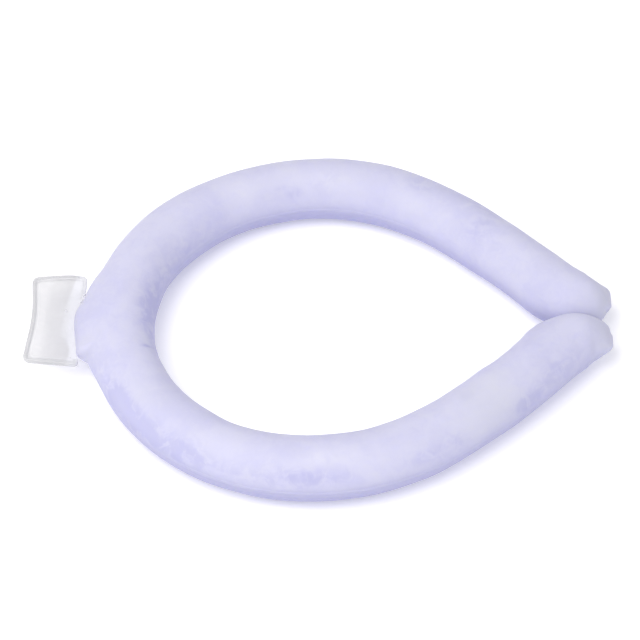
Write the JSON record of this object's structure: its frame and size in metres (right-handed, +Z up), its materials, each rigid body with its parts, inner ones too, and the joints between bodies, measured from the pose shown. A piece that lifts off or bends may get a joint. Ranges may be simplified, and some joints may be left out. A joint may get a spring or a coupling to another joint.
{
  "type": "cooling neck ring",
  "caption": "Soft gel-filled tube bent into an open neck ring, with touching blunt tips and a flat welded tab at the nape.",
  "frame": {"origin": "middle of the bounding box at the base, on the surface the ring lies on", "axes": "+X from the nape and its tab to the two tips, +Y towards the far arm, +Z up"},
  "size_m": [0.1876, 0.141, 0.0209],
  "materials": {
    "film": "soft satin lavender film with cloudy patches",
    "gel": "waxy, cloudy lavender",
    "clear_film": "clear glossy welded film"
  },
  "bodies": {
    "root": {"skin": "film", "cooling_core": "gel", "clear_tab": "clear_film"}
  },
  "joints": []
}
